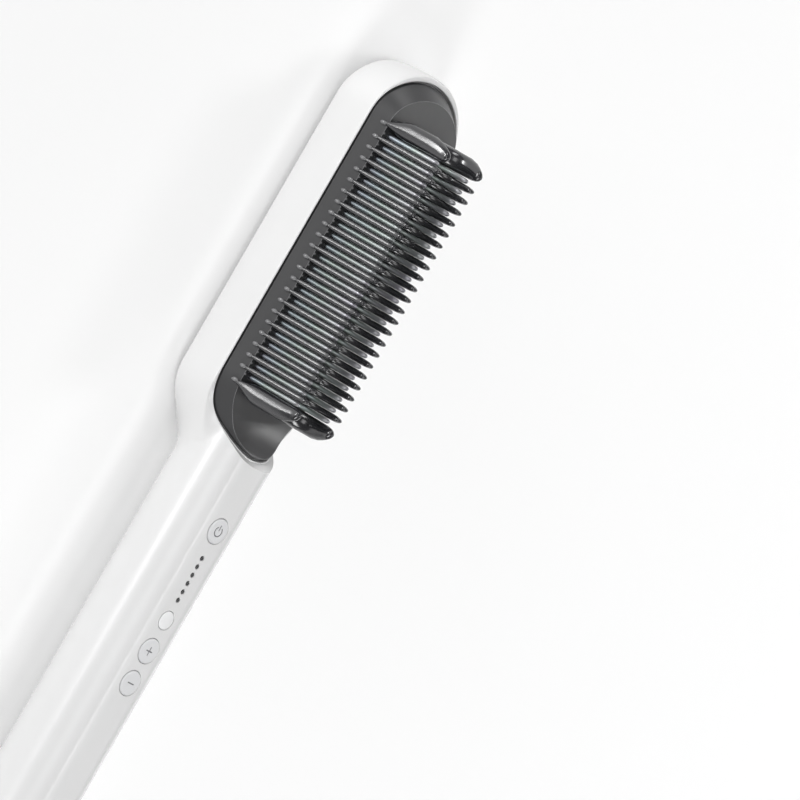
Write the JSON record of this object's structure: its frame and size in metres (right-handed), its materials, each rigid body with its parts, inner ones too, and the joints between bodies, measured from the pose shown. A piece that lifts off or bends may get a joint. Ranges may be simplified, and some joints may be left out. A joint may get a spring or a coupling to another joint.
{
  "type": "heated straightening comb",
  "caption": "Oval comb head with two rows of dark guard teeth and heated fins between them, on a round white handle with push buttons, indicator lights and a swivelling cord inlet.",
  "frame": {"origin": "mouth of the cord bore, on the axis of the handle", "axes": "+X along the handle's axis to the tip of the head, +Z the way the teeth point; the head's rim lies at Z = 0 and its back plate at Z = -17.2 mm"},
  "size_m": [0.278, 0.0444, 0.0432],
  "materials": {
    "white_shell": "glossy",
    "button_white": "satin",
    "white_plastic": "matte",
    "dark_plastic": "satin",
    "bezel_silver": "satin, fine grain",
    "plate_silver": "glossy silver",
    "coated_aluminium": "glossy ceramic coating",
    "bare_aluminium": "mill finish",
    "screw_steel": "zinc plated",
    "spring_steel": "oiled",
    "insulating_film": "satin",
    "copper_strip": "bare",
    "contact_brass": "bare",
    "heater_ceramic": "fired",
    "fuse_body": "drawn",
    "sensor_glass": "clear",
    "shield_sheet": "mica sheet",
    "silicone_lead": "matte",
    "sensor_lead": "matte",
    "sled_plastic": "matte",
    "board_laminate": "solder mask",
    "switch_plastic": "matte",
    "lamp_resin": "satin",
    "guide_dark": "glossy",
    "lens_white": "glossy",
    "chip_resin": "matte",
    "capacitor_film": "glossy",
    "terminal_plastic": "matte"
  },
  "bodies": {
    "body": {"body_shell": "white_shell", "end_cap": "white_shell", "cap_screws": "screw_steel", "comb_cover": "dark_plastic", "cover_screws": "screw_steel", "back_bezel": "bezel_silver", "back_plate": "plate_silver", "heating_plate": "coated_aluminium", "plate_screws": "screw_steel", "upper_insulator": "insulating_film", "upper_electrode": "copper_strip", "ceramic_heaters": "heater_ceramic", "lower_electrode": "copper_strip", "lower_insulator": "insulating_film", "heater_clamp": "bare_aluminium", "clamp_screws": "screw_steel", "thermal_fuse": "fuse_body", "temperature_sensor": "sensor_glass", "heat_shield": "shield_sheet", "heater_wires": "silicone_lead", "sensor_wires": "sensor_lead", "control_sled": "sled_plastic", "control_board": "board_laminate", "board_screws": "screw_steel", "power_switch": "switch_plastic", "plus_switch": "switch_plastic", "minus_switch": "switch_plastic", "level_leds": "lamp_resin", "level_light_guide": "guide_dark", "indicator_led": "lamp_resin", "indicator_lens": "lens_white", "control_chip": "chip_resin", "power_triac": "chip_resin", "supply_capacitor": "capacitor_film", "line_fuse": "sensor_glass", "heater_terminal": "terminal_plastic", "supply_terminal": "terminal_plastic", "supply_wires": "silicone_lead", "contact_brushes": "contact_brass", "brush_holder": "sled_plastic"},
    "power_key": {"power_button": "button_white", "power_plunger": "white_plastic"},
    "plus_key": {"plus_button": "button_white", "plus_plunger": "white_plastic"},
    "minus_key": {"minus_button": "button_white", "minus_plunger": "white_plastic"},
    "cord_swivel": {"cord_gland": "white_shell", "swivel_clip": "spring_steel", "contact_rings": "contact_brass"}
  },
  "joints": [
    {"name": "power_press", "type": "slide", "parent": "body", "child": "power_key", "axis": [0, 0, -1], "range_m": [0, 0.0005], "stiffness_N_per_m": 600, "springref_m": -0.0005},
    {"name": "plus_press", "type": "slide", "parent": "body", "child": "plus_key", "axis": [0, 0, -1], "range_m": [0, 0.0005], "stiffness_N_per_m": 600, "springref_m": -0.0005},
    {"name": "minus_press", "type": "slide", "parent": "body", "child": "minus_key", "axis": [0, 0, -1], "range_m": [0, 0.0005], "stiffness_N_per_m": 600, "springref_m": -0.0005},
    {"name": "cord_turn", "type": "hinge", "parent": "body", "child": "cord_swivel", "pos_m": [0, 0, 0], "axis": [1, 0, 0], "continuous": true}
  ]
}
